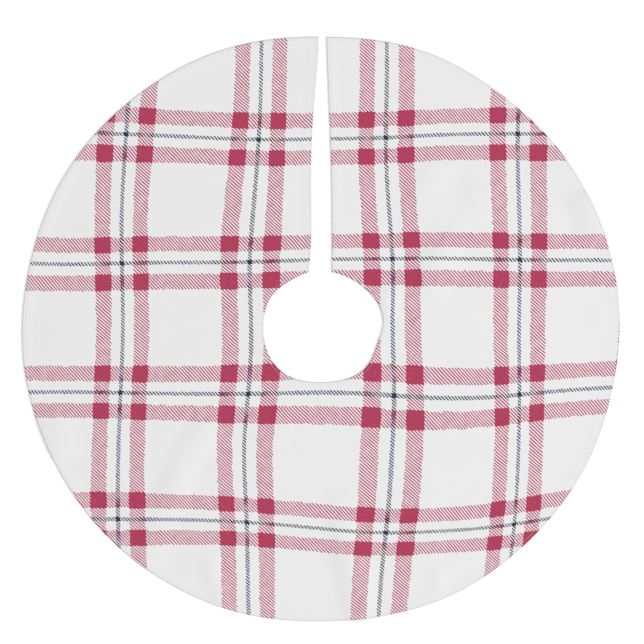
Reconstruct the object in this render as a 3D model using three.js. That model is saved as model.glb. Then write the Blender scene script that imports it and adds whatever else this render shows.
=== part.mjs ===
// Round printed cloth tree skirt, laid flat, printed face up.
// Millimetres, +Z up, floor at z = 0, trunk hole near the origin, opening slit along +Y, +X to the right.
// The cloth is one ply with a narrow turned-under hem on every cut edge, top-stitched.
// It lies in three rigid zones that a real skirt folds between: the front half, and the two back
// quarters beside the slit, each of which turns up and over about the fold line on the X axis.
import * as THREE from "three";

// ---- sizes -------------------------------------------------------------------------------------
const PLY = 1.0; // cloth thickness with its brushed nap
const GAP = 0.3; // clearance between pieces that touch in the real skirt
const HEM = 6.7; // width of the turned-under ply
const RAMP = 14.0; // where the panel is back down on the floor behind the hem
const LIFT = PLY + GAP; // the panel rides over the hem ply by this much
const SHIFT = [-0.651, 1.254]; // moves the outline's own centre so that the box is centred on the origin

// Outline radius in polar harmonics [a0, a1, b1, a2, b2, ...] about its centre, and the same for the trunk hole.
const RIM = [554.320, 0.485, -0.756, 4.445, -0.012, 0.323, 0.228, -1.601, 0.184, 0.011, 0.309, 0.900, 0.512, -0.173, 0.013, -0.781, 0.120, -0.234, -0.318, 0.706, 0.333, 0.221, 0.223, -0.034, 0.166];
const NECK = [108.550, 0.014, -1.084, 3.653, 0.732, 0.578, -0.303, -0.780, 0.810, 0.466, 1.868, -0.019, 0.548, 0.401, 0.288, 0.062, 0.466];
const NECK_C = [2.8, 2.8];
// Slit edges, x as a polynomial of y / 550: a wedge that narrows towards the rim, slightly bowed.
const SLIT_L = [-59.10, 333.54, -948.48, 1114.38, -444.36];
const SLIT_R = [21.90, -10.71, 60.77, -119.79, 59.03];

// Soft radial folds: [points..., height, half width, fade length at each end (0 = runs out through the rim)].
const FOLDS = [
  { p: [[-188, -156], [-242, -227], [-270, -283], [-298, -358], [-318, -427], [-350, -520]], h: 3.6, w: 40, f0: 60, f1: 270 },
  { p: [[44, -264], [46, -320], [50, -414], [66, -488], [78, -560]], h: 5.0, w: 44, f0: 140, f1: 0 },
  { p: [[233, 333], [208, 281], [182, 231]], h: 2.5, w: 40, f0: 60, f1: 50 },
  { p: [[246, 212], [229, 147], [208, 81], [195, 35]], h: 4.3, w: 46, f0: 70, f1: 60 },
  { p: [[137, 91], [126, 53], [122, 6]], h: 2.4, w: 24, f0: 26, f1: 30 },
  { p: [[523, 53], [515, -13]], h: 0.9, w: 26, f0: 25, f1: 25 },
  { p: [[486, 268], [506, 210], [518, 150]], h: 5.0, w: 46, f0: 30, f1: 30 },
  { p: [[-510, -134], [-495, -190], [-476, -255]], h: 3.6, w: 46, f0: 40, f1: 40 },
  { p: [[182, -236], [201, -283], [231, -339]], h: 1.8, w: 42, f0: 40, f1: 40 },
  { p: [[223, -432], [218, -507]], h: 2.2, w: 26, f0: 30, f1: 30 },
  { p: [[-57, -134], [-74, -180], [-85, -227]], h: 1.8, w: 30, f0: 34, f1: 34 },
  { p: [[-214, -404], [-201, -460], [-178, -526]], h: 2.8, w: 30, f0: 40, f1: 20 },
  { p: [[307, 300], [302, 240], [294, 180]], h: 2.0, w: 50, f0: 50, f1: 50 },
];

// ---- plan of the cloth -------------------------------------------------------------------------
const harmonic = (c, t) => {
  let r = c[0];
  for (let k = 1; 2 * k < c.length; k++) r += c[2 * k - 1] * Math.cos(k * t) + c[2 * k] * Math.sin(k * t);
  return r;
};
const poly = (c, y) => c.reduce((s, a, i) => s + a * Math.pow(y / 550, i), 0);
const rim = (t) => {
  const r = harmonic(RIM, t);
  return [r * Math.cos(t), r * Math.sin(t)];
};
const neck = (t) => {
  const r = harmonic(NECK, t);
  return [NECK_C[0] + r * Math.cos(t), NECK_C[1] + r * Math.sin(t)];
};
const FOLD_Y = -SHIFT[1]; // the fold line, y = 0 once shifted

// Root of f on [a, b].
const solve = (f, a, b) => {
  let fa = f(a);
  for (let i = 0; i < 80; i++) {
    const m = (a + b) / 2;
    const fm = f(m);
    if (fa * fm <= 0) b = m;
    else [a, fa] = [m, fm];
  }
  return (a + b) / 2;
};
const D = Math.PI / 180;
const onLine = (curve, y, a, b) => solve((t) => curve(t)[1] - y, a * D, b * D);
const onSlit = (curve, side, a, b) => solve((t) => curve(t)[0] - poly(side, curve(t)[1]), a * D, b * D);

// A zone is a Coons patch: u runs anticlockwise, s from the neck to the rim.
const zone = (side) => {
  const g = GAP / 2;
  let t0, t1, slit, at; // neck and rim start/end angles; at = end of u where the slit is
  if (side === "front") {
    t0 = [onLine(neck, FOLD_Y - g, 150, 210), onLine(rim, FOLD_Y - g, 150, 210)];
    t1 = [onLine(neck, FOLD_Y - g, 330, 390), onLine(rim, FOLD_Y - g, 330, 390)];
  } else if (side === "right") {
    t0 = [onLine(neck, FOLD_Y + g, -30, 30), onLine(rim, FOLD_Y + g, -30, 30)];
    t1 = [onSlit(neck, SLIT_R, 60, 89), onSlit(rim, SLIT_R, 80, 92)];
    slit = SLIT_R;
    at = 1;
  } else {
    t0 = [onSlit(neck, SLIT_L, 94, 120), onSlit(rim, SLIT_L, 88, 100)];
    t1 = [onLine(neck, FOLD_Y + g, 150, 210), onLine(rim, FOLD_Y + g, 150, 210)];
    slit = SLIT_L;
    at = 0;
  }
  const c0 = (u) => neck(t0[0] + u * (t1[0] - t0[0]));
  const c1 = (u) => rim(t0[1] + u * (t1[1] - t0[1]));
  const straight = (a, b) => (s) => [a[0] + s * (b[0] - a[0]), a[1] + s * (b[1] - a[1])];
  const bowed = (a, b) => (s) => {
    const y = a[1] + s * (b[1] - a[1]);
    return [poly(slit, y), y];
  };
  const d0 = (at === 0 ? bowed : straight)(c0(0), c1(0));
  const d1 = (at === 1 ? bowed : straight)(c0(1), c1(1));
  const P = (u, s) => {
    const A = c0(u), B = c1(u), C = d0(s), E = d1(s);
    const k00 = c0(0), k10 = c0(1), k01 = c1(0), k11 = c1(1);
    return [0, 1].map(
      (i) =>
        (1 - s) * A[i] + s * B[i] + (1 - u) * C[i] + u * E[i] -
        ((1 - u) * (1 - s) * k00[i] + u * (1 - s) * k10[i] + (1 - u) * s * k01[i] + u * s * k11[i]),
    );
  };
  const measured = [];
  for (let k = 0; k <= 20; k++) {
    let L = 0;
    for (let i = 0; i < 40; i++) {
      const a = P(i / 40, k / 20), b = P((i + 1) / 40, k / 20);
      L += Math.hypot(b[0] - a[0], b[1] - a[1]);
    }
    measured.push(L);
  }
  const across = (s) => {
    const k = Math.min(19, Math.max(0, Math.floor(s * 20)));
    return measured[k] + (s * 20 - k) * (measured[k + 1] - measured[k]);
  };
  const along = (u) => {
    const a = P(u, 0), b = P(u, 1);
    return Math.hypot(b[0] - a[0], b[1] - a[1]);
  };
  const BESIDE = 24;
  // Point a given way round (fraction f, or d mm in from the slit edge) and a given way out
  // (fraction f, or d mm in from the neck or the rim).
  const place = (iu, is) => {
    let u = iu.f ?? 0.5;
    let s = is.f ?? 0.5;
    for (let n = 0; n < 3; n++) {
      if (is.neck !== undefined) s = is.neck / along(u);
      else if (is.rim !== undefined) s = 1 - is.rim / along(u);
      if (iu.slit !== undefined) {
        const e = iu.slit / across(s);
        u = at === 1 ? 1 - e : e;
      } else {
        // even lines, the last one BESIDE mm in from the slit edge
        const e = at === undefined ? 0 : BESIDE / across(s);
        u = at === 0 ? e + iu.f * (1 - e) : iu.f * (1 - e);
      }
    }
    return P(u, s);
  };
  return { at, place };
};

// ---- height of the floor side of the cloth ---------------------------------------------------------
const bump = (x, y) => {
  let z = 0;
  for (const fold of FOLDS) {
    let total = 0;
    const seg = [];
    for (let i = 0; i + 1 < fold.p.length; i++) {
      const [a, b] = [fold.p[i], fold.p[i + 1]];
      const l = Math.hypot(b[0] - a[0], b[1] - a[1]);
      seg.push([a, b, l, total]);
      total += l;
    }
    let best = 1e9, arc = 0;
    for (const [a, b, l, from] of seg) {
      let t = ((x - a[0]) * (b[0] - a[0]) + (y - a[1]) * (b[1] - a[1])) / (l * l);
      t = Math.min(1, Math.max(0, t));
      const d = Math.hypot(x - a[0] - t * (b[0] - a[0]), y - a[1] - t * (b[1] - a[1]));
      if (d < best) [best, arc] = [d, from + t * l];
    }
    if (best >= fold.w) continue;
    const ease = (v) => (v <= 0 ? 0 : v >= 1 ? 1 : v * v * (3 - 2 * v));
    const e0 = fold.f0 ? ease(arc / fold.f0) : 1;
    const e1 = fold.f1 ? ease((total - arc) / fold.f1) : 1;
    const q = 1 - (best / fold.w) ** 2;
    z = Math.max(z, fold.h * q * q * e0 * e1);
  }
  return z;
};

// ---- closed solids from a grid of columns ----------------------------------------------------------
// rows[i][j] = [x, y, low z, high z]; i runs anticlockwise, j outwards.
const slab = (name, colour, rows) => {
  const nu = rows.length, ns = rows[0].length;
  const pos = [];
  const index = [];
  for (const row of rows) for (const [x, y, lo, hi] of row) {
    pos.push(x + SHIFT[0], y + SHIFT[1], lo, x + SHIFT[0], y + SHIFT[1], hi);
  }
  const lo = (i, j) => 2 * (i * ns + j);
  const hi = (i, j) => lo(i, j) + 1;
  const quad = (a, b, c, d) => index.push(a, b, c, a, c, d);
  for (let i = 0; i + 1 < nu; i++)
    for (let j = 0; j + 1 < ns; j++) {
      // anticlockwise i and outward j: (i, j) -> (i, j + 1) -> (i + 1, j + 1) faces up
      quad(hi(i, j), hi(i, j + 1), hi(i + 1, j + 1), hi(i + 1, j));
      quad(lo(i, j), lo(i + 1, j), lo(i + 1, j + 1), lo(i, j + 1));
    }
  for (let i = 0; i + 1 < nu; i++) {
    quad(lo(i, 0), hi(i, 0), hi(i + 1, 0), lo(i + 1, 0));
    quad(lo(i, ns - 1), lo(i + 1, ns - 1), hi(i + 1, ns - 1), hi(i, ns - 1));
  }
  for (let j = 0; j + 1 < ns; j++) {
    quad(lo(0, j), lo(0, j + 1), hi(0, j + 1), hi(0, j));
    quad(lo(nu - 1, j), hi(nu - 1, j), hi(nu - 1, j + 1), lo(nu - 1, j + 1));
  }
  const geometry = new THREE.BufferGeometry();
  geometry.setAttribute("position", new THREE.Float32BufferAttribute(pos, 3));
  geometry.setIndex(index);
  geometry.computeVertexNormals();
  const mesh = new THREE.Mesh(geometry, new THREE.MeshStandardMaterial({ color: colour, roughness: 0.95 }));
  mesh.name = name;
  return mesh;
};

const group = new THREE.Group();
group.name = "tree_skirt";
const CLOTH = 0xe6e2e0, UNDER = 0xeeeeec, THREAD = 0xf6f6f4;

const build = (side, prefix, cells) => {
  const { at, place } = zone(side);
  // lines across the zone, with the two hem lines beside the slit where there is one
  const lines = (tail) => {
    const out = [];
    for (let i = 0; i <= cells; i++) out.push({ f: i / cells });
    const more = tail.map((d) => ({ slit: d }));
    if (at === 1) out.push(...more);
    if (at === 0) out.unshift(...more.reverse());
    return out;
  };
  const hemmed = (d) => d <= HEM + 0.01;

  // the printed panel
  const us = lines(side === "front" ? [] : [RAMP, HEM, 0]);
  const ss = [{ neck: 0 }, { neck: HEM }, { neck: RAMP }];
  for (let j = 1; j < 17; j++) ss.push({ f: 0.031 + (0.938 * j) / 17 });
  ss.push({ rim: RAMP }, { rim: HEM }, { rim: 0 });
  const rows = us.map((iu) =>
    ss.map((is) => {
      const [x, y] = place(iu, is);
      const up =
        (iu.slit !== undefined && hemmed(iu.slit)) ||
        (is.neck !== undefined && hemmed(is.neck)) ||
        (is.rim !== undefined && hemmed(is.rim));
      const z = bump(x, y) + (up ? LIFT : 0);
      return [x, y, z, z + PLY];
    }),
  );
  group.add(slab(`${prefix}_panel`, CLOTH, rows));

  // turned-under plies and their stitching
  const strip = (name, colour, iu, is, low, thick) => {
    const grid = iu.map((a) =>
      is.map((b) => {
        const [x, y] = place(a, b);
        const z = bump(x, y) + low;
        return [x, y, z, z + thick];
      }),
    );
    group.add(slab(name, colour, grid));
  };
  const round = lines(side === "front" ? [] : [RAMP, HEM + GAP]);
  strip(`${prefix}_rim_hem`, UNDER, round, [{ rim: HEM }, { rim: 0 }], 0, PLY);
  strip(`${prefix}_neck_hem`, UNDER, round, [{ neck: 0 }, { neck: HEM }], 0, PLY);
  const top = LIFT + PLY + GAP;
  const sewn = lines(side === "front" ? [] : [RAMP, HEM + 2]);
  strip(`${prefix}_rim_stitch`, THREAD, sewn, [{ rim: 5.8 }, { rim: 5.0 }], top, 0.4);
  strip(`${prefix}_neck_stitch`, THREAD, sewn, [{ neck: 5.0 }, { neck: 5.8 }], top, 0.4);
  if (side !== "front") {
    const pair = (a, b) => (at === 1 ? [{ slit: b }, { slit: a }] : [{ slit: a }, { slit: b }]);
    strip(`${prefix}_slit_hem`, UNDER, pair(0, HEM), ss, 0, PLY);
    const inner = ss.slice(1, -1);
    strip(`${prefix}_slit_stitch`, THREAD, pair(5.0, 5.8), inner, top, 0.4);
  }
};

build("front", "front", 60);
build("left", "left", 30);
build("right", "right", 30);

export default group;
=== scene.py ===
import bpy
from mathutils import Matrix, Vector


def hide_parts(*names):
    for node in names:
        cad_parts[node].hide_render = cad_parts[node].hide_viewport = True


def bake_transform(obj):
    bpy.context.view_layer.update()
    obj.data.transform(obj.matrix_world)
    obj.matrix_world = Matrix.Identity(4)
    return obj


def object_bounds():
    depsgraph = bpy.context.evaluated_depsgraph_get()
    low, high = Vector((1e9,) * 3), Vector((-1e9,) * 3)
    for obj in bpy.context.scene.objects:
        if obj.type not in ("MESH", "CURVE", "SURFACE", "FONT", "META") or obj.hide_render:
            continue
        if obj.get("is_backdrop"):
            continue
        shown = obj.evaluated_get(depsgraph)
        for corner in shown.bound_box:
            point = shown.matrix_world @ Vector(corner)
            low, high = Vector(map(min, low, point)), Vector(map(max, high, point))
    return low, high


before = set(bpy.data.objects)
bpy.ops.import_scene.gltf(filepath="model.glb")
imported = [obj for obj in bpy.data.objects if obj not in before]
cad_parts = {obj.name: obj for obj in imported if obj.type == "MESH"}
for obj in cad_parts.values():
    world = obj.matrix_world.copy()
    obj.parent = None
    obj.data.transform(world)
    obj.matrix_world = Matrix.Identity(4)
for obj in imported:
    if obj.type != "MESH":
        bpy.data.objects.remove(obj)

import math

import bpy
import numpy as np

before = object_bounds()

# ---------------------------------------------------------------------------------------------
# Plan of the cloth, in millimetres, the same curves as the CAD.
# ---------------------------------------------------------------------------------------------
SHIFT = (-0.651, 1.254)
RIM = (554.320, 0.485, -0.756, 4.445, -0.012, 0.323, 0.228, -1.601, 0.184, 0.011, 0.309, 0.900, 0.512, -0.173,
       0.013, -0.781, 0.120, -0.234, -0.318, 0.706, 0.333, 0.221, 0.223, -0.034, 0.166)
NECK = (108.550, 0.014, -1.084, 3.653, 0.732, 0.578, -0.303, -0.780, 0.810, 0.466, 1.868, -0.019, 0.548, 0.401,
        0.288, 0.062, 0.466)
NECK_C = (2.8, 2.8)
SLIT_L = (-59.10, 333.54, -948.48, 1114.38, -444.36)
SLIT_R = (21.90, -10.71, 60.77, -119.79, 59.03)

# Soft folds: points, height, half width, fade length at each end (0 = runs out through the rim).
FOLDS = (
    (((-188, -156), (-242, -227), (-270, -283), (-298, -358), (-318, -427), (-350, -520)), 3.6, 40, 60, 270),
    (((44, -264), (46, -320), (50, -414), (66, -488), (78, -560)), 5.0, 44, 140, 0),
    (((233, 333), (208, 281), (182, 231)), 2.5, 40, 60, 50),
    (((246, 212), (229, 147), (208, 81), (195, 35)), 4.3, 46, 70, 60),
    (((137, 91), (126, 53), (122, 6)), 2.4, 24, 26, 30),
    (((523, 53), (515, -13)), 0.9, 26, 25, 25),
    (((486, 268), (506, 210), (518, 150)), 5.0, 46, 30, 30),
    (((-510, -134), (-495, -190), (-476, -255)), 3.6, 46, 40, 40),
    (((182, -236), (201, -283), (231, -339)), 1.8, 42, 40, 40),
    (((223, -432), (218, -507)), 2.2, 26, 30, 30),
    (((-57, -134), (-74, -180), (-85, -227)), 1.8, 30, 34, 34),
    (((-214, -404), (-201, -460), (-178, -526)), 2.8, 30, 40, 20),
    (((307, 300), (302, 240), (294, 180)), 2.0, 50, 50, 50),
)

PLY, LIFT, HEM, RAMP = 0.9, 0.75, 6.8, 24.0
TOP = PLY + LIFT
SEW = 5.4  # the row of stitching, in from the folded edge


def harmonic(c, t):
    r = np.full_like(t, c[0], dtype=float)
    for k in range(1, (len(c) + 1) // 2):
        r = r + c[2 * k - 1] * np.cos(k * t) + c[2 * k] * np.sin(k * t)
    return r


def rim(t):
    t = np.asarray(t, float)
    r = harmonic(RIM, t)
    return np.stack([r * np.cos(t), r * np.sin(t)], -1)


def neck(t):
    t = np.asarray(t, float)
    r = harmonic(NECK, t)
    return np.stack([NECK_C[0] + r * np.cos(t), NECK_C[1] + r * np.sin(t)], -1)


def poly(c, y):
    return sum(a * (y / 550.0) ** i for i, a in enumerate(c))


def root(f, a, b):
    a, b = math.radians(a), math.radians(b)
    fa = f(a)
    for _ in range(80):
        m = (a + b) / 2
        fm = f(m)
        if fa * fm <= 0:
            b = m
        else:
            a, fa = m, fm
    return (a + b) / 2


class Half:
    """A Coons patch over half the skirt, from the slit round to the seam line x = 0 at the front.
    u runs from the slit (0) to the front line (1), s from the neck (0) to the rim (1)."""

    def __init__(self, side):
        self.side = side
        self.slit = SLIT_R if side == "right" else SLIT_L
        x0 = -SHIFT[0]

        def on_slit(curve, a, b):
            return root(lambda t: curve(t)[0] - poly(self.slit, curve(t)[1]), a, b)

        def on_front(curve, a, b):
            return root(lambda t: curve(t)[0] - x0, a, b)

        if side == "right":
            self.n = (on_slit(neck, 60, 89), on_front(neck, -100, -80))
            self.r = (on_slit(rim, 80, 92), on_front(rim, -100, -80))
        else:
            self.n = (on_slit(neck, 94, 120), on_front(neck, 260, 280))
            self.r = (on_slit(rim, 88, 100), on_front(rim, 260, 280))
        self.k00, self.k01 = self.c0(0.0), self.c1(0.0)
        self.k10, self.k11 = self.c0(1.0), self.c1(1.0)
        s = np.linspace(0, 1, 41)
        u = np.linspace(0, 1, 201)
        p = self.P(u[None, :], s[:, None])
        self.len_at = np.hypot(*np.moveaxis(np.diff(p, axis=1), -1, 0)).sum(1)
        self.s_at = s

    def c0(self, u):
        return neck(self.n[0] + np.asarray(u, float) * (self.n[1] - self.n[0]))

    def c1(self, u):
        return rim(self.r[0] + np.asarray(u, float) * (self.r[1] - self.r[0]))

    def P(self, u, s):
        u, s = np.broadcast_arrays(np.asarray(u, float), np.asarray(s, float))
        A, B = self.c0(u), self.c1(u)
        y = self.k00[1] + s * (self.k01[1] - self.k00[1])
        C = np.stack([poly(self.slit, y), y], -1)
        u, s = u[..., None], s[..., None]
        E = (1 - s) * self.k10 + s * self.k11
        corners = (1 - u) * (1 - s) * self.k00 + u * (1 - s) * self.k10 + (1 - u) * s * self.k01 + u * s * self.k11
        return (1 - s) * A + s * B + (1 - u) * C + u * E - corners

    def across(self, s):
        return np.interp(s, self.s_at, self.len_at)

    def along(self, u):
        d = self.P(u, 1.0) - self.P(u, 0.0)
        return np.hypot(d[..., 0], d[..., 1])


# Smooth value noise, seeded, for the cloth's slight unevenness.
RNG = np.random.default_rng(20583)
LATTICE = RNG.random((64, 64))


def value_noise(x, y, scale):
    x, y = np.asarray(x) / scale + 17.3, np.asarray(y) / scale + 41.7
    xi, yi = np.floor(x).astype(int), np.floor(y).astype(int)
    fx, fy = x - xi, y - yi
    fx, fy = fx * fx * fx * (fx * (6 * fx - 15) + 10), fy * fy * fy * (fy * (6 * fy - 15) + 10)
    g = lambda a, b: LATTICE[a % 64, b % 64]
    return (
        g(xi, yi) * (1 - fx) * (1 - fy)
        + g(xi + 1, yi) * fx * (1 - fy)
        + g(xi, yi + 1) * (1 - fx) * fy
        + g(xi + 1, yi + 1) * fx * fy
    )


def ease(v):
    v = np.clip(v, 0, 1)
    return v * v * (3 - 2 * v)


def folds(x, y):
    """Height of the cloth's underside above the floor, from the soft folds."""
    z = np.zeros_like(x)
    for pts, h, w, f0, f1 in FOLDS:
        best = np.full_like(x, 1e9)
        arc = np.zeros_like(x)
        total = 0.0
        for a, b in zip(pts[:-1], pts[1:]):
            dx, dy = b[0] - a[0], b[1] - a[1]
            l = math.hypot(dx, dy)
            t = np.clip(((x - a[0]) * dx + (y - a[1]) * dy) / (l * l), 0, 1)
            d = np.hypot(x - a[0] - t * dx, y - a[1] - t * dy)
            near = d < best
            best = np.where(near, d, best)
            arc = np.where(near, total + t * l, arc)
            total += l
        e = (ease(arc / f0) if f0 else 1.0) * (ease((total - arc) / f1) if f1 else 1.0)
        q = 1 - (np.minimum(best, w) / w) ** 2
        z = np.maximum(z, h * q * q * e)
    return z


def lie(x, y):
    """The cloth's whole height field: folds, and a slight unevenness that stays off the floor."""
    return folds(x, y) + 0.42 * value_noise(x, y, 120) + 0.16 * value_noise(x, y, 41)


# Where the print falls on the cloth: cloth coordinates in millimetres from a place on the finished
# skirt. They are smooth polynomials, because the cloth lies slightly stretched and skewed.
PRINT_U = (365.41, -2.88, 517.69, 13.65, 35.19, 0.59, -16.39, 34.58, 7.32, 90.25, -11.28, -12.67, -2.66, -57.46,
           4.86, 7.26, 26.77, 0.33, -46.08, -16.4, -41.25)
PRINT_V = (-369.37, 543.91, 2.1, 47.61, -42.89, -0.18, 56.52, 26.63, 10.77, -11.99, -47.77, 30.02, -54.26, 50.99,
           -2.26, -16.97, -12.01, -17.98, -15.08, 20.03, 4.63)


# The print has also slipped and stretched a little by hand's breadths: in tenths of a millimetre, on a square
# grid of SLIP_STEP millimetres centred on the skirt, from the front row to the back row.
SLIP_STEP = 112.08
SLIP_U = (
    (269, 214, 165, 125, 97, 71, 40, 7, -22, -47, -73, -96, -123, -157, -194),
    (298, 236, 173, 109, 54, 23, 18, 20, 3, -23, -46, -75, -113, -150, -182),
    (321, 256, 185, 100, 10, -35, -10, 39, 35, -9, -8, -58, -108, -141, -166),
    (330, 265, 194, 103, -28, -81, -27, 36, 45, -16, 43, -55, -104, -125, -141),
    (323, 254, 181, 82, -42, -56, 14, 29, -12, -89, 26, -48, -72, -90, -115),
    (300, 222, 138, 36, -21, 51, 138, 87, -1, -131, 22, 35, 0, -49, -94),
    (264, 179, 88, -6, -45, 22, 5, -10, -44, -102, 35, 25, -35, -290, -78),
    (221, 142, 64, -22, -95, -7, -25, -17, 1, 13, 88, 3, -55, -229, -71),
    (182, 114, 51, 5, -28, 98, 72, -20, -71, -55, 27, -34, -44, -60, -79),
    (154, 102, 56, 27, 21, 101, -32, -24, 29, -9, 30, -54, -66, -82, -99),
    (139, 104, 69, 25, -22, -31, -81, 31, 79, 25, 53, -42, -83, -109, -128),
    (132, 113, 92, 60, 7, -41, -63, 33, 22, -60, -33, -86, -115, -138, -159),
    (128, 127, 123, 115, 102, 87, 59, 64, 26, -74, -95, -120, -146, -170, -193),
    (125, 144, 162, 176, 183, 175, 143, 95, 29, -56, -115, -151, -179, -204, -228),
    (122, 163, 204, 238, 258, 250, 206, 130, 41, -44, -119, -174, -212, -239, -264),
)
SLIP_V = (
    (379, 390, 395, 392, 377, 346, 287, 206, 127, 69, 29, 7, 0, 2, 6),
    (306, 315, 319, 310, 278, 225, 666, 803, 42, -1, -15, -6, 11, 31, 51),
    (235, 238, 238, 227, 183, 86, 92, 106, -24, -74, -57, -15, 22, 56, 92),
    (170, 156, 146, 130, 78, -77, -156, -77, -42, -137, -84, -22, 24, 74, 127),
    (115, 77, 46, 23, -15, -17, 6, 54, 143, 105, 40, -41, 12, 83, 151),
    (67, 19, -45, -78, -35, 29, 66, 52, 93, 130, 20, -89, 9, 89, 153),
    (20, 5, -12, -13, 28, 14, -19, -99, -92, -6, 24, -35, 14, 75, 122),
    (-19, -9, 8, 27, 12, 8, -19, -98, -65, 11, 39, 2, 7, 37, 64),
    (-43, -30, -19, 7, -38, -9, -12, -67, -62, -55, -19, 6, -11, -10, -4),
    (-50, -27, 12, 72, 40, 23, 65, 29, 54, -3, 51, 60, -24, -51, -62),
    (-36, -17, -6, -22, -61, -31, 42, 22, 44, -26, -15, -7, -40, -71, -96),
    (-14, -6, 0, 10, 18, 10, 0, -22, -4, -20, -8, -25, -53, -81, -108),
    (13, 10, 9, 7, -8, -41, -64, -76, -78, -76, -63, -62, -73, -89, -106),
    (45, 28, 11, -11, -42, -79, -109, -126, -132, -127, -115, -104, -98, -96, -97),
    (79, 45, 9, -32, -75, -116, -150, -173, -182, -178, -165, -146, -125, -105, -87),
)


def slip(x, y):
    """The print's slip at a place, smooth between the grid's points."""
    tables = [np.array(t) * 0.1 for t in (SLIP_U, SLIP_V)]
    n = len(tables[0])
    gx, gy = np.asarray(x) / SLIP_STEP + n // 2, np.asarray(y) / SLIP_STEP + n // 2
    ix, iy = np.floor(gx).astype(int), np.floor(gy).astype(int)
    fx, fy = gx - ix, gy - iy

    def weights(f):
        return ((1 - f) ** 3 / 6, (3 * f**3 - 6 * f**2 + 4) / 6, (-3 * f**3 + 3 * f**2 + 3 * f + 1) / 6, f**3 / 6)

    out = [0.0, 0.0]
    for a, wy in enumerate(weights(fy)):
        for b, wx in enumerate(weights(fx)):
            row, col = np.clip(iy + a - 1, 0, n - 1), np.clip(ix + b - 1, 0, n - 1)
            for k in (0, 1):
                out[k] = out[k] + tables[k][row, col] * wx * wy
    return out


# The slanted strokes were drawn by hand and never quite evenly: how many strokes lie before a place.
STROKES = (0.0, 84.607, 83.65, -1.971, -1.053, -0.52, 1.913, 3.994, 0.065, 2.423)


def print_at(x, y):
    X, Y = x / 560.4, y / 560.4
    terms = [X**i * Y**(n - i) for n in range(6) for i in range(n + 1)]
    U, V, W = (sum(c * t for c, t in zip(table, terms)) for table in (PRINT_U, PRINT_V, STROKES))
    su, sv = slip(x, y)
    return U + su, V + sv, W


EDGE = (0.0, 0.07, 0.24, 0.55, 0.95, 1.9, 3.0, 4.7, 5.4, 6.1, 6.8, 7.0, 9.0, 11.5, 14.5, 18.0, 21.0, 24.0)


SOFT = 0.95  # how far in the folded edge's soft roll reaches
DENT = 0.16  # how deep the stitches pull the cloth in


def top_of(d):
    z = PLY + LIFT * ease((RAMP - d) / (RAMP - 7.0))
    z = z - DENT * np.exp(-(((d - SEW) / 0.8) ** 2))
    r = TOP / 2
    e = np.clip(d / SOFT, 0, 1)
    return np.where(d < SOFT, r + np.sqrt(np.clip(1 - (1 - e) ** 2, 0, 1)) * (z - r), z)


def under_of(d):
    r = TOP / 2
    e = np.clip(d / r, 0, 1)
    curl = r - r * np.sqrt(np.clip(1 - (1 - e) ** 2, 0, 1))
    return np.where(d < 6.9, curl, LIFT * ease((RAMP - d) / (RAMP - 7.0)))


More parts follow.
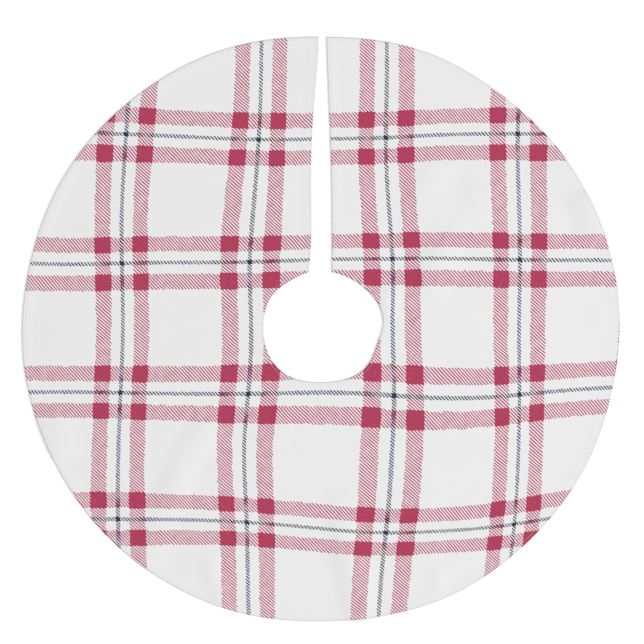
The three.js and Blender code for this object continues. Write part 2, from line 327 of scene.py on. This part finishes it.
def make_half(side):
    half = Half(side)
    # Lines round the skirt: hem lines beside the slit, then even lines, closer where the cloth rolls at the fold.
    span = abs(half.r[1] - half.r[0])
    fold = (half.r[0] if side == "right" else math.pi - half.r[0]) / span
    grid = np.linspace(0, 1, 4001)
    density = 1.0 + 1.6 * np.exp(-(((grid - fold) * span / 0.045) ** 4))
    cum = np.concatenate([[0], np.cumsum((density[1:] + density[:-1]) / 2)])
    cum /= cum[-1]
    columns = 268
    free = np.interp(np.linspace(0, 1, columns), cum, grid)
    BESIDE = 28.0
    # Lines out from the neck to the rim.
    inner = 72
    rows = [("neck", e) for e in EDGE]
    rows += [("frac", (j + 1) / (inner + 1)) for j in range(inner)]
    rows += [("rim", e) for e in EDGE[::-1]]
    cols = [("slit", e) for e in EDGE] + [("free", f) for f in free]
    nu, ns = len(cols), len(rows)
    u = np.zeros((nu, ns))
    s = np.full((nu, ns), 0.5)
    for i, (kind, value) in enumerate(cols):
        u[i] = value if kind == "free" else 0.001
    for _ in range(4):
        along = half.along(u[:, ns // 2])
        for j, (kind, value) in enumerate(rows):
            a, b = 28.5 / along, 1 - 28.5 / along
            s[:, j] = {"neck": value / along, "rim": 1 - value / along, "frac": a + (b - a) * value}[kind]
        across = half.across(s)
        for i, (kind, value) in enumerate(cols):
            if kind == "slit":
                u[i] = value / across[i]
            else:
                e = BESIDE / across[i]
                u[i] = e + value * (1 - e)
    along = half.along(u)
    across = half.across(s)
    p = half.P(u, s)
    near = {"slit": u * across, "neck": s * along, "rim": (1 - s) * along}
    d = np.minimum(np.minimum(near["slit"], near["neck"]), near["rim"])
    d = np.clip(d, 0, None)
    d[d < 1e-6] = 0
    x, y = p[..., 0], p[..., 1]
    z0 = lie(x, y)
    pucker = 0.16 * (value_noise(x, y, 9.0) - 0.5) * ease((11 - d) / 5) * ease(d / 1.5)
    zt = z0 + top_of(d) + pucker
    zb = z0 + under_of(d)
    # cloth coordinates; the turned-under ply carries on past the fold
    U, V, W = print_at(x, y)
    edge = {
        "rim": half.P(u, np.ones_like(s)),
        "neck": half.P(u, np.zeros_like(s)),
        "slit": half.P(np.zeros_like(u), s),
    }
    which = np.argmin(np.stack([near["slit"], near["neck"], near["rim"]]), 0)
    e = np.where(which[..., None] == 0, edge["slit"], np.where(which[..., None] == 1, edge["neck"], edge["rim"]))
    turned = 2 * e - p
    Ub, Vb, Wb = print_at(turned[..., 0], turned[..., 1])
    on_ply = d < 6.9
    Ub, Vb, Wb = np.where(on_ply, Ub, U), np.where(on_ply, Vb, V), np.where(on_ply, Wb, W)

    top = np.arange(nu * ns).reshape(nu, ns)
    shared = np.zeros((nu, ns), bool)
    shared[0, :] = shared[:, 0] = shared[:, -1] = True
    low = top.copy()
    low[~shared] = nu * ns + np.arange((~shared).sum())
    co = np.stack([x + SHIFT[0], y + SHIFT[1], zt], -1).reshape(-1, 3)
    co_low = np.stack([x + SHIFT[0], y + SHIFT[1], zb], -1)[~shared]
    verts = np.concatenate([co, co_low]) * 0.001
    data = np.concatenate([
        np.stack([U, V, W], -1).reshape(-1, 3),
        np.stack([Ub, Vb, Wb], -1)[~shared],
    ])
    a, b, c, e4 = top[:-1, :-1], top[:-1, 1:], top[1:, 1:], top[1:, :-1]
    f_top = np.stack([a, b, c, e4], -1).reshape(-1, 4)
    a, b, c, e4 = low[:-1, :-1], low[:-1, 1:], low[1:, 1:], low[1:, :-1]
    f_low = np.stack([a, e4, c, b], -1).reshape(-1, 4)
    dm = (d[:-1, :-1] + d[:-1, 1:] + d[1:, 1:] + d[1:, :-1]).reshape(-1) / 4
    wall = np.stack([top[-1, :-1], top[-1, 1:], low[-1, 1:], low[-1, :-1]], -1)
    faces = np.concatenate([f_top, f_low, wall])
    kinds = np.concatenate([np.zeros(len(f_top), int), (dm > 6.85).astype(int), np.ones(len(wall), int)])
    if side == "right":  # u runs clockwise seen from above, so the faces turn over
        faces = faces[:, ::-1]
    # the wall's first and last quads have two corners in one place
    mesh = bpy.data.meshes.new(side + "_cloth")
    polys = []
    for f in faces.tolist():
        g = [f[k] for k in range(4) if f[k] != f[k - 1]]
        polys.append(g)
    keep = [k for k, g in enumerate(polys) if len(set(g)) >= 3]
    mesh.from_pydata(verts.tolist(), [], [polys[k] for k in keep])
    mesh.polygons.foreach_set("use_smooth", np.ones(len(keep), bool))
    mesh.polygons.foreach_set("material_index", kinds[keep].astype(np.int32))
    att = mesh.attributes.new("cloth", "FLOAT_VECTOR", "POINT")
    att.data.foreach_set("vector", data.astype(np.float32).ravel())
    inset = mesh.attributes.new("inset", "FLOAT", "POINT")
    inset.data.foreach_set("value", np.concatenate([d.ravel(), d[~shared]]).astype(np.float32))
    mesh.update()
    # the wall on the front line is a hard corner
    wall_set = set(map(int, np.concatenate([top[-1], low[-1]])))
    sharp = mesh.attributes.new("sharp_edge", "BOOLEAN", "EDGE")
    ev = np.zeros(len(mesh.edges) * 2, np.int32)
    mesh.edges.foreach_get("vertices", ev)
    ev = ev.reshape(-1, 2)
    inwall = np.isin(ev, np.array(sorted(wall_set))).all(1)
    sharp.data.foreach_set("value", inwall)
    mesh.validate()
    obj = bpy.data.objects.new(side + "_cloth", mesh)
    bpy.context.scene.collection.objects.link(obj)
    return half, obj


def stitch_path(half, kind):
    n = 6000
    if kind == "slit":
        s = np.linspace(5.4 / half.along(0.0), 1 - 5.4 / half.along(0.0), n)
        u = SEW / half.across(s)
    else:
        u0 = SEW / (half.len_at[-1] if kind == "rim" else half.len_at[0])
        u = np.linspace(u0, 1, n)
        al = half.along(u)
        s = 1 - SEW / al if kind == "rim" else SEW / al
    return half.P(u, s)


def make_stitches(half, side):
    step, length, r = 3.5, 2.9, 0.23
    ring = np.array([[math.cos(k * math.pi / 3), math.sin(k * math.pi / 3)] for k in range(6)])
    along = ((-0.5, 0.25, -0.30), (-0.36, 0.9, -0.02), (0.0, 1.0, 0.05), (0.36, 0.9, -0.02), (0.5, 0.25, -0.30))
    verts, faces, tags = [], [], []
    count = 0
    for kind in ("rim", "neck", "slit"):
        p = stitch_path(half, kind)
        L = np.concatenate([[0], np.cumsum(np.hypot(*np.diff(p, axis=0).T))])
        at = np.arange(step / 2, L[-1] - step / 2, step)
        px, py = np.interp(at, L, p[:, 0]), np.interp(at, L, p[:, 1])
        qx, qy = np.interp(at + 0.5, L, p[:, 0]) - px, np.interp(at + 0.5, L, p[:, 1]) - py
        m = np.hypot(qx, qy)
        qx, qy = qx / m, qy / m
        jitter = RNG.normal(0, 0.12, len(at))
        turn = RNG.normal(0, 0.05, len(at))
        for k in range(len(at)):
            c, s = math.cos(turn[k]), math.sin(turn[k])
            tx, ty = qx[k] * c - qy[k] * s, qx[k] * s + qy[k] * c
            nx, ny = -ty, tx
            bx, by = px[k] + nx * jitter[k], py[k] + ny * jitter[k]
            bz = float(lie(np.array([bx]), np.array([by]))[0]) + TOP - DENT + r * 0.55
            base = len(verts)
            for f, w, dz in along:
                for q in ring:
                    verts.append((
                        bx + tx * f * length + nx * q[0] * r * w + SHIFT[0],
                        by + ty * f * length + ny * q[0] * r * w + SHIFT[1],
                        bz + dz + q[1] * r * w,
                    ))
                    tags.append((at[k] + f * length, q[0] * r * 3.0, count))
            for a in range(4):
                for b in range(6):
                    c2 = (b + 1) % 6
                    faces.append((base + a * 6 + b, base + a * 6 + c2, base + a * 6 + 6 + c2, base + a * 6 + 6 + b))
            faces.append(tuple(base + b for b in range(5, -1, -1)))
            faces.append(tuple(base + 24 + b for b in range(6)))
            count += 1
    mesh = bpy.data.meshes.new(side + "_stitching")
    mesh.from_pydata((np.array(verts) * 0.001).tolist(), [], faces)
    mesh.polygons.foreach_set("use_smooth", np.ones(len(faces), bool))
    att = mesh.attributes.new("cloth", "FLOAT_VECTOR", "POINT")
    att.data.foreach_set("vector", np.array(tags, np.float32).ravel())
    mesh.validate()
    obj = bpy.data.objects.new(side + "_stitching", mesh)
    bpy.context.scene.collection.objects.link(obj)
    return obj


# ---------------------------------------------------------------------------------------------
# Materials
# ---------------------------------------------------------------------------------------------
PERIOD = 244.708  # the plaid's repeat on the cloth
PAIR = 36.57  # from a navy line to the middle of the red band beside it
BAND = 14.5  # half the width of a red band
LINE = 3.75  # half the width of a navy line


class Nodes:
    def __init__(self, name):
        self.mat = bpy.data.materials.new(name)
        self.mat.use_nodes = True
        self.nt = self.mat.node_tree
        self.nt.nodes.clear()
        self.out = self.nt.nodes.new("ShaderNodeOutputMaterial")
        self.bsdf = self.nt.nodes.new("ShaderNodeBsdfPrincipled")
        self.nt.links.new(self.bsdf.outputs[0], self.out.inputs["Surface"])

    def node(self, kind, **props):
        n = self.nt.nodes.new(kind)
        for k, v in props.items():
            setattr(n, k, v)
        return n

    def put(self, socket, value):
        if isinstance(value, bpy.types.NodeSocket):
            self.nt.links.new(value, socket)
        else:
            socket.default_value = value

    def m(self, op, *args, clamp=False):
        n = self.node("ShaderNodeMath", operation=op, use_clamp=clamp)
        for i, a in enumerate(args):
            self.put(n.inputs[i], a)
        return n.outputs[0]

    def cloth(self):
        a = self.node("ShaderNodeAttribute", attribute_name="cloth")
        s = self.node("ShaderNodeSeparateXYZ")
        self.nt.links.new(a.outputs["Vector"], s.inputs[0])
        return s.outputs[0], s.outputs[1], s.outputs[2]

    def vec(self, x, y, z=0.0):
        c = self.node("ShaderNodeCombineXYZ")
        for i, v in enumerate((x, y, z)):
            self.put(c.inputs[i], v)
        return c.outputs[0]

    def noise(self, vec, size, detail=1.0, rough=0.5):
        """Noise of about 0..1 whose grains are size millimetres."""
        n = self.node("ShaderNodeTexNoise", noise_dimensions="2D")
        self.put(n.inputs["Vector"], vec)
        n.inputs["Scale"].default_value = 1.0 / size
        n.inputs["Detail"].default_value = detail
        n.inputs["Roughness"].default_value = rough
        return n.outputs[0]

    def step(self, value, soft):
        """0 below -soft, 1 above soft, smooth between."""
        n = self.node("ShaderNodeMapRange", interpolation_type="SMOOTHSTEP", clamp=True)
        self.put(n.inputs["Value"], value)
        n.inputs["From Min"].default_value = -soft
        n.inputs["From Max"].default_value = soft
        return n.outputs[0]

    def mix(self, a, b, share):
        n = self.node("ShaderNodeMix", data_type="RGBA", blend_type="MIX")
        self.put(n.inputs["Factor"], share)
        self.put(n.inputs[6], a)
        self.put(n.inputs[7], b)
        return n.outputs[2]

    def times(self, a, b, share=1.0):
        n = self.node("ShaderNodeMix", data_type="RGBA", blend_type="MULTIPLY")
        self.put(n.inputs["Factor"], share)
        self.put(n.inputs[6], a)
        self.put(n.inputs[7], b)
        return n.outputs[2]


def plaid(g, U, V, W):
    """Coverage of the red and the navy ink, hand drawn: slanted strokes that wander and end unevenly."""
    m = g.m
    uv = g.vec(U, V)
    wander = m("MULTIPLY", m("SUBTRACT", g.noise(uv, 62.0, 0.0, 0.4), 0.5), 0.8)
    wiggle = m("MULTIPLY", m("SUBTRACT", g.noise(uv, 10.0, 0.0, 0.5), 0.5), 0.16)
    width = m("ADD", 0.241, m("MULTIPLY", m("SUBTRACT", g.noise(uv, 14.0), 0.5), 0.11))
    drawn = m("ADD", W, m("ADD", wander, wiggle))
    skew = m("SUBTRACT", V, U)

    def strokes(lean, rate, offset, extra, soft):
        """Strokes across the bands that run one way: which stroke a place is nearest, and its ink."""
        phase = m("ADD", m("MULTIPLY", m("ADD", drawn, m("MULTIPLY", skew, lean)), rate), offset)
        tri = m("ABSOLUTE", m("SUBTRACT", m("FRACT", phase), 0.5))  # 0 on a stroke's middle, 0.5 between strokes
        return m("FLOOR", phase), g.step(m("SUBTRACT", m("ADD", width, extra), tri), soft)

    # The strokes lean a little differently in the bands that run front to back and in those from side to side.
    index_u, stroke_u = strokes(0.0075, 1.0, 0.0, 0.0, 0.035)
    index_v, stroke_v = strokes(-0.0078, 1.0, 0.0, 0.0, 0.035)

    def spread(coord, index, seed):
        """How far each stroke runs past or short of a band's edge, in millimetres."""
        n = g.node("ShaderNodeTexWhiteNoise", noise_dimensions="2D")
        far = m("FLOOR", m("MULTIPLY", coord, 1.0 / PERIOD))
        g.put(n.inputs["Vector"], g.vec(m("ADD", index, seed), far))
        return m("MULTIPLY", m("SUBTRACT", n.outputs["Value"], 0.5), 2.2)

    def wrapped(coord):
        return m("ABSOLUTE", m("WRAP", coord, PERIOD / 2, -PERIOD / 2))

    au, av = wrapped(U), wrapped(V)
    edge_u = m("MULTIPLY", m("SUBTRACT", g.noise(g.vec(m("ADD", U, 900.0), V), 30.0), 0.5), 2.4)
    edge_v = m("MULTIPLY", m("SUBTRACT", g.noise(g.vec(m("ADD", U, 3900.0), V), 30.0), 0.5), 2.4)
    # square's own edge wobble is finer
    fine_u = m("MULTIPLY", m("SUBTRACT", g.noise(g.vec(m("ADD", U, 700.0), V), 5.0), 0.5), 2.6)
    fine_v = m("MULTIPLY", m("SUBTRACT", g.noise(g.vec(m("ADD", U, 2700.0), V), 5.0), 0.5), 2.6)
    du = m("SUBTRACT", BAND, m("ABSOLUTE", m("SUBTRACT", au, PAIR)))
    dv = m("SUBTRACT", BAND, m("ABSOLUTE", m("SUBTRACT", av, PAIR)))
    band_u = g.step(m("ADD", m("ADD", du, edge_u), spread(U, index_u, 3.0)), 0.4)
    band_v = g.step(m("ADD", m("ADD", dv, edge_v), spread(V, index_v, 41.0)), 0.4)
    solid_u = g.step(m("ADD", m("ADD", m("ADD", du, 1.05), edge_u), fine_u), 0.4)
    solid_v = g.step(m("ADD", m("ADD", m("ADD", dv, 1.5), edge_v), fine_v), 0.4)
    square = m("MULTIPLY", solid_u, solid_v)
    red = m("MAXIMUM", square, m("MAXIMUM", m("MULTIPLY", band_u, stroke_u), m("MULTIPLY", band_v, stroke_v)))

    # the navy strokes have their own rhythm
    def line(coord, lean, rate, offset):
        index, ink = strokes(lean, rate, offset, 0.02, 0.03)
        jit = g.node("ShaderNodeTexWhiteNoise", noise_dimensions="1D")
        g.put(jit.inputs["W"], index)
        shift = m("MULTIPLY", m("SUBTRACT", jit.outputs["Value"], 0.5), 1.2)
        return m("MULTIPLY", g.step(m("SUBTRACT", m("ADD", LINE, shift), coord), 0.35), ink)

    line_u = line(au, 0.0075, 1.035, 0.37)
    line_v = line(av, -0.0078, 1.01, 0.37)
    fine = m("MULTIPLY", m("SUBTRACT", g.noise(uv, 4.0), 0.5), 1.6)
    dot = g.step(m("SUBTRACT", m("ADD", LINE + 0.35, fine), m("MAXIMUM", au, av)), 0.5)
    navy = m("MAXIMUM", dot, m("MAXIMUM", line_u, line_v))
    return red, navy, square


WHITE = (0.765, 0.770, 0.764, 1)
RED_INK = (0.525, 0.052, 0.127, 1)
THIN_RED = (0.575, 0.050, 0.155, 1)  # the strokes, printed a little thinner than the squares
NAVY_INK = (0.026, 0.048, 0.105, 1)


def weave(g, U, V, strength):
    """Plain weave of fine slubby yarn, with a brushed nap."""
    m = g.m
    wob = m("MULTIPLY", m("SUBTRACT", g.noise(g.vec(U, V), 6.0), 0.5), 0.9)
    a = m("SINE", m("MULTIPLY", m("ADD", U, wob), 2 * math.pi / 1.3))
    b = m("SINE", m("MULTIPLY", m("ADD", V, wob), 2 * math.pi / 1.3))
    over = m("MULTIPLY", m("MULTIPLY", a, b), 0.5)
    nap = g.noise(g.vec(U, V), 0.55, 2.0, 0.6)
    slub = g.noise(g.vec(m("MULTIPLY", U, 0.08), V), 1.1, 1.0, 0.5)
    height = m("ADD", m("ADD", over, m("MULTIPLY", nap, 0.9)), m("MULTIPLY", slub, 0.5))
    bump = g.node("ShaderNodeBump")
    bump.inputs["Strength"].default_value = strength
    bump.inputs["Distance"].default_value = 0.00006
    g.put(bump.inputs["Height"], height)
    return bump.outputs["Normal"], height


def cloth_material(name, printed):
    g = Nodes(name)
    m = g.m
    U, V, W = g.cloth()
    red, navy, square = plaid(g, U, V, W)
    uv = g.vec(U, V)
    normal, height = weave(g, U, V, 0.35)
    # the undyed cloth: a very slight unevenness in tone, and a painted shade at yarn scale that follows the weave's
    # bump, darker where it is low
    tone = m("ADD", 0.988, m("MULTIPLY", g.noise(uv, 55.0, 2.0), 0.024))
    weave_painted_shade = m("ADD", 0.985, m("MULTIPLY", height, 0.014))
    base = g.node("ShaderNodeMix", data_type="RGBA", blend_type="MULTIPLY")
    base.inputs["Factor"].default_value = 1.0
    g.put(base.inputs[6], WHITE)
    g.put(base.inputs[7], g.mix((0, 0, 0, 1), (1, 1, 1, 1), m("MULTIPLY", tone, weave_painted_shade)))
    ground = base.outputs[2]
    uneven = m("ADD", 0.955, m("MULTIPLY", g.noise(uv, 7.0, 2.0, 0.6), 0.08), clamp=True)
    if printed:
        ink = g.times(ground, g.mix(THIN_RED, RED_INK, square), m("MULTIPLY", red, uneven, clamp=True))
        ink = g.times(ink, NAVY_INK, m("MULTIPLY", navy, m("ADD", uneven, 0.03), clamp=True))
    else:
        ink = g.times(ground, (0.93, 0.80, 0.83, 1), m("MULTIPLY", red, 0.75))
        ink = g.times(ink, (0.78, 0.81, 0.86, 1), m("MULTIPLY", navy, 0.8))
    # painted shade: the colour is greyed all round the folded edge, standing in for the shade where the cloth rolls
    # under; noise makes it uneven
    painted_edge_shade = g.node("ShaderNodeMapRange", interpolation_type="SMOOTHSTEP", clamp=True)
    g.put(painted_edge_shade.inputs["Value"], g.node("ShaderNodeAttribute", attribute_name="inset").outputs["Fac"])
    painted_edge_shade.inputs["From Min"].default_value = 0.3
    painted_edge_shade.inputs["From Max"].default_value = 2.9
    painted_edge_shade.inputs["To Min"].default_value = 1.0
    painted_edge_shade.inputs["To Max"].default_value = 0.0
    ink = g.times(ink, (0.77, 0.77, 0.77, 1), m("MULTIPLY", painted_edge_shade.outputs[0], m("ADD", 0.7, m("MULTIPLY", g.noise(uv, 12.0), 0.5)),
                                                clamp=True))
    g.put(g.bsdf.inputs["Base Color"], ink)
    rough = m("ADD", 0.88, m("MULTIPLY", g.noise(uv, 3.0), 0.08))
    g.put(g.bsdf.inputs["Roughness"], rough)
    g.put(g.bsdf.inputs["Normal"], normal)
    g.bsdf.inputs["Specular IOR Level"].default_value = 0.25
    g.bsdf.inputs["Sheen Weight"].default_value = 0.06
    g.bsdf.inputs["Sheen Roughness"].default_value = 0.6
    return g.mat


def thread_material():
    g = Nodes("white_sewing_thread")
    m = g.m
    along, across, which = g.cloth()
    twist = m("SINE", m("MULTIPLY", m("ADD", m("MULTIPLY", along, 1.0), m("MULTIPLY", across, 0.45)), 2 * math.pi / 0.55))
    # painted shade: the thread's colour follows its twist, the same as its bump, darker in the twist's grooves
    painted_twist_shade = m("ADD", 0.90, m("MULTIPLY", twist, 0.06))
    g.put(g.bsdf.inputs["Base Color"], g.mix((0.66, 0.66, 0.655, 1), (0.79, 0.79, 0.785, 1), painted_twist_shade))
    bump = g.node("ShaderNodeBump")
    bump.inputs["Strength"].default_value = 0.4
    bump.inputs["Distance"].default_value = 0.00008
    g.put(bump.inputs["Height"], twist)
    g.put(g.bsdf.inputs["Normal"], bump.outputs["Normal"])
    g.put(g.bsdf.inputs["Roughness"], m("ADD", 0.62, m("MULTIPLY", twist, 0.05)))
    g.bsdf.inputs["Sheen Weight"].default_value = 0.1
    return g.mat


face = cloth_material("printed_brushed_cloth", True)
back = cloth_material("unprinted_cloth_back", False)
thread = thread_material()

# ---------------------------------------------------------------------------------------------
# The pieces
# ---------------------------------------------------------------------------------------------
for side in ("left", "right"):
    half, cloth = make_half(side)
    cloth.data.materials.append(face)
    cloth.data.materials.append(back)
    stitches = make_stitches(half, side)
    stitches.data.materials.append(thread)
    for piece in (cloth, stitches):
        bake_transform(piece)
    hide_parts(side + "_panel", side + "_rim_hem", side + "_neck_hem", side + "_slit_hem",
                "front_panel", "front_rim_hem", "front_neck_hem")
    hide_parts(side + "_rim_stitch", side + "_neck_stitch", side + "_slit_stitch",
                "front_rim_stitch", "front_neck_stitch")

# ---------------------------------------------------------------------------------------------
# Floor, light and camera
# ---------------------------------------------------------------------------------------------
mesh = bpy.data.meshes.new("floor")
R = 12.0
mesh.from_pydata([(-R, -R, 0), (R, -R, 0), (R, R, 0), (-R, R, 0)], [], [(0, 1, 2, 3)])
floor = bpy.data.objects.new("floor", mesh)
floor.location = (0, 0, -0.0004)
bpy.context.scene.collection.objects.link(floor)
g = Nodes("pale_floor")
tc = g.node("ShaderNodeTexCoord")
n = g.node("ShaderNodeTexNoise")
n.inputs["Scale"].default_value = 3.0
g.nt.links.new(tc.outputs["Object"], n.inputs["Vector"])
g.put(g.bsdf.inputs["Base Color"], g.mix((0.975, 0.975, 0.975, 1), (0.99, 0.99, 0.99, 1), n.outputs[0]))
g.bsdf.inputs["Roughness"].default_value = 0.9
g.bsdf.inputs["Specular IOR Level"].default_value = 0.1
floor.data.materials.append(g.mat)
floor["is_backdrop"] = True

scene = bpy.context.scene
scene.view_settings.view_transform = "Standard"
scene.view_settings.look = "None"
world = bpy.data.worlds.new("studio")
world.use_nodes = True
world.node_tree.nodes["Background"].inputs[0].default_value = (1.0, 1.0, 1.0, 1)
world.node_tree.nodes["Background"].inputs[1].default_value = 0.657
scene.world = world


def area(name, at, to, size, watts, colour=(1, 1, 1)):
    data = bpy.data.lights.new(name, "AREA")
    data.shape = "DISK"
    data.size = size
    data.energy = watts
    data.color = colour
    o = bpy.data.objects.new(name, data)
    o.location = at
    d = [to[k] - at[k] for k in range(3)]
    from mathutils import Vector
    o.rotation_euler = Vector(d).to_track_quat("-Z", "Y").to_euler()
    o.visible_camera = False
    scene.collection.objects.link(o)
    return o


area("key_from_right", (7.0, -2.8, 5.0), (0, 0, 0), 1.8, 350)
area("top_fill", (-0.6, 0.6, 5.0), (0, 0, 0), 3.5, 50)

camera = bpy.data.cameras.new("camera")
camera.type = "PERSP"
camera.sensor_width = 36.0
HEIGHT = 6.0
camera.lens = 36.0 * (HEIGHT - 0.0015) / (644 * 0.001868)
camera.clip_end = 100
cam = bpy.data.objects.new("camera", camera)
cam.location = (0.002151, 0.013396, HEIGHT)
scene.collection.objects.link(cam)
scene.camera = cam

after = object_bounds()
plain = lambda b: [[float(v) for v in row] for row in b]
{"before": plain(before), "after": plain(after)}
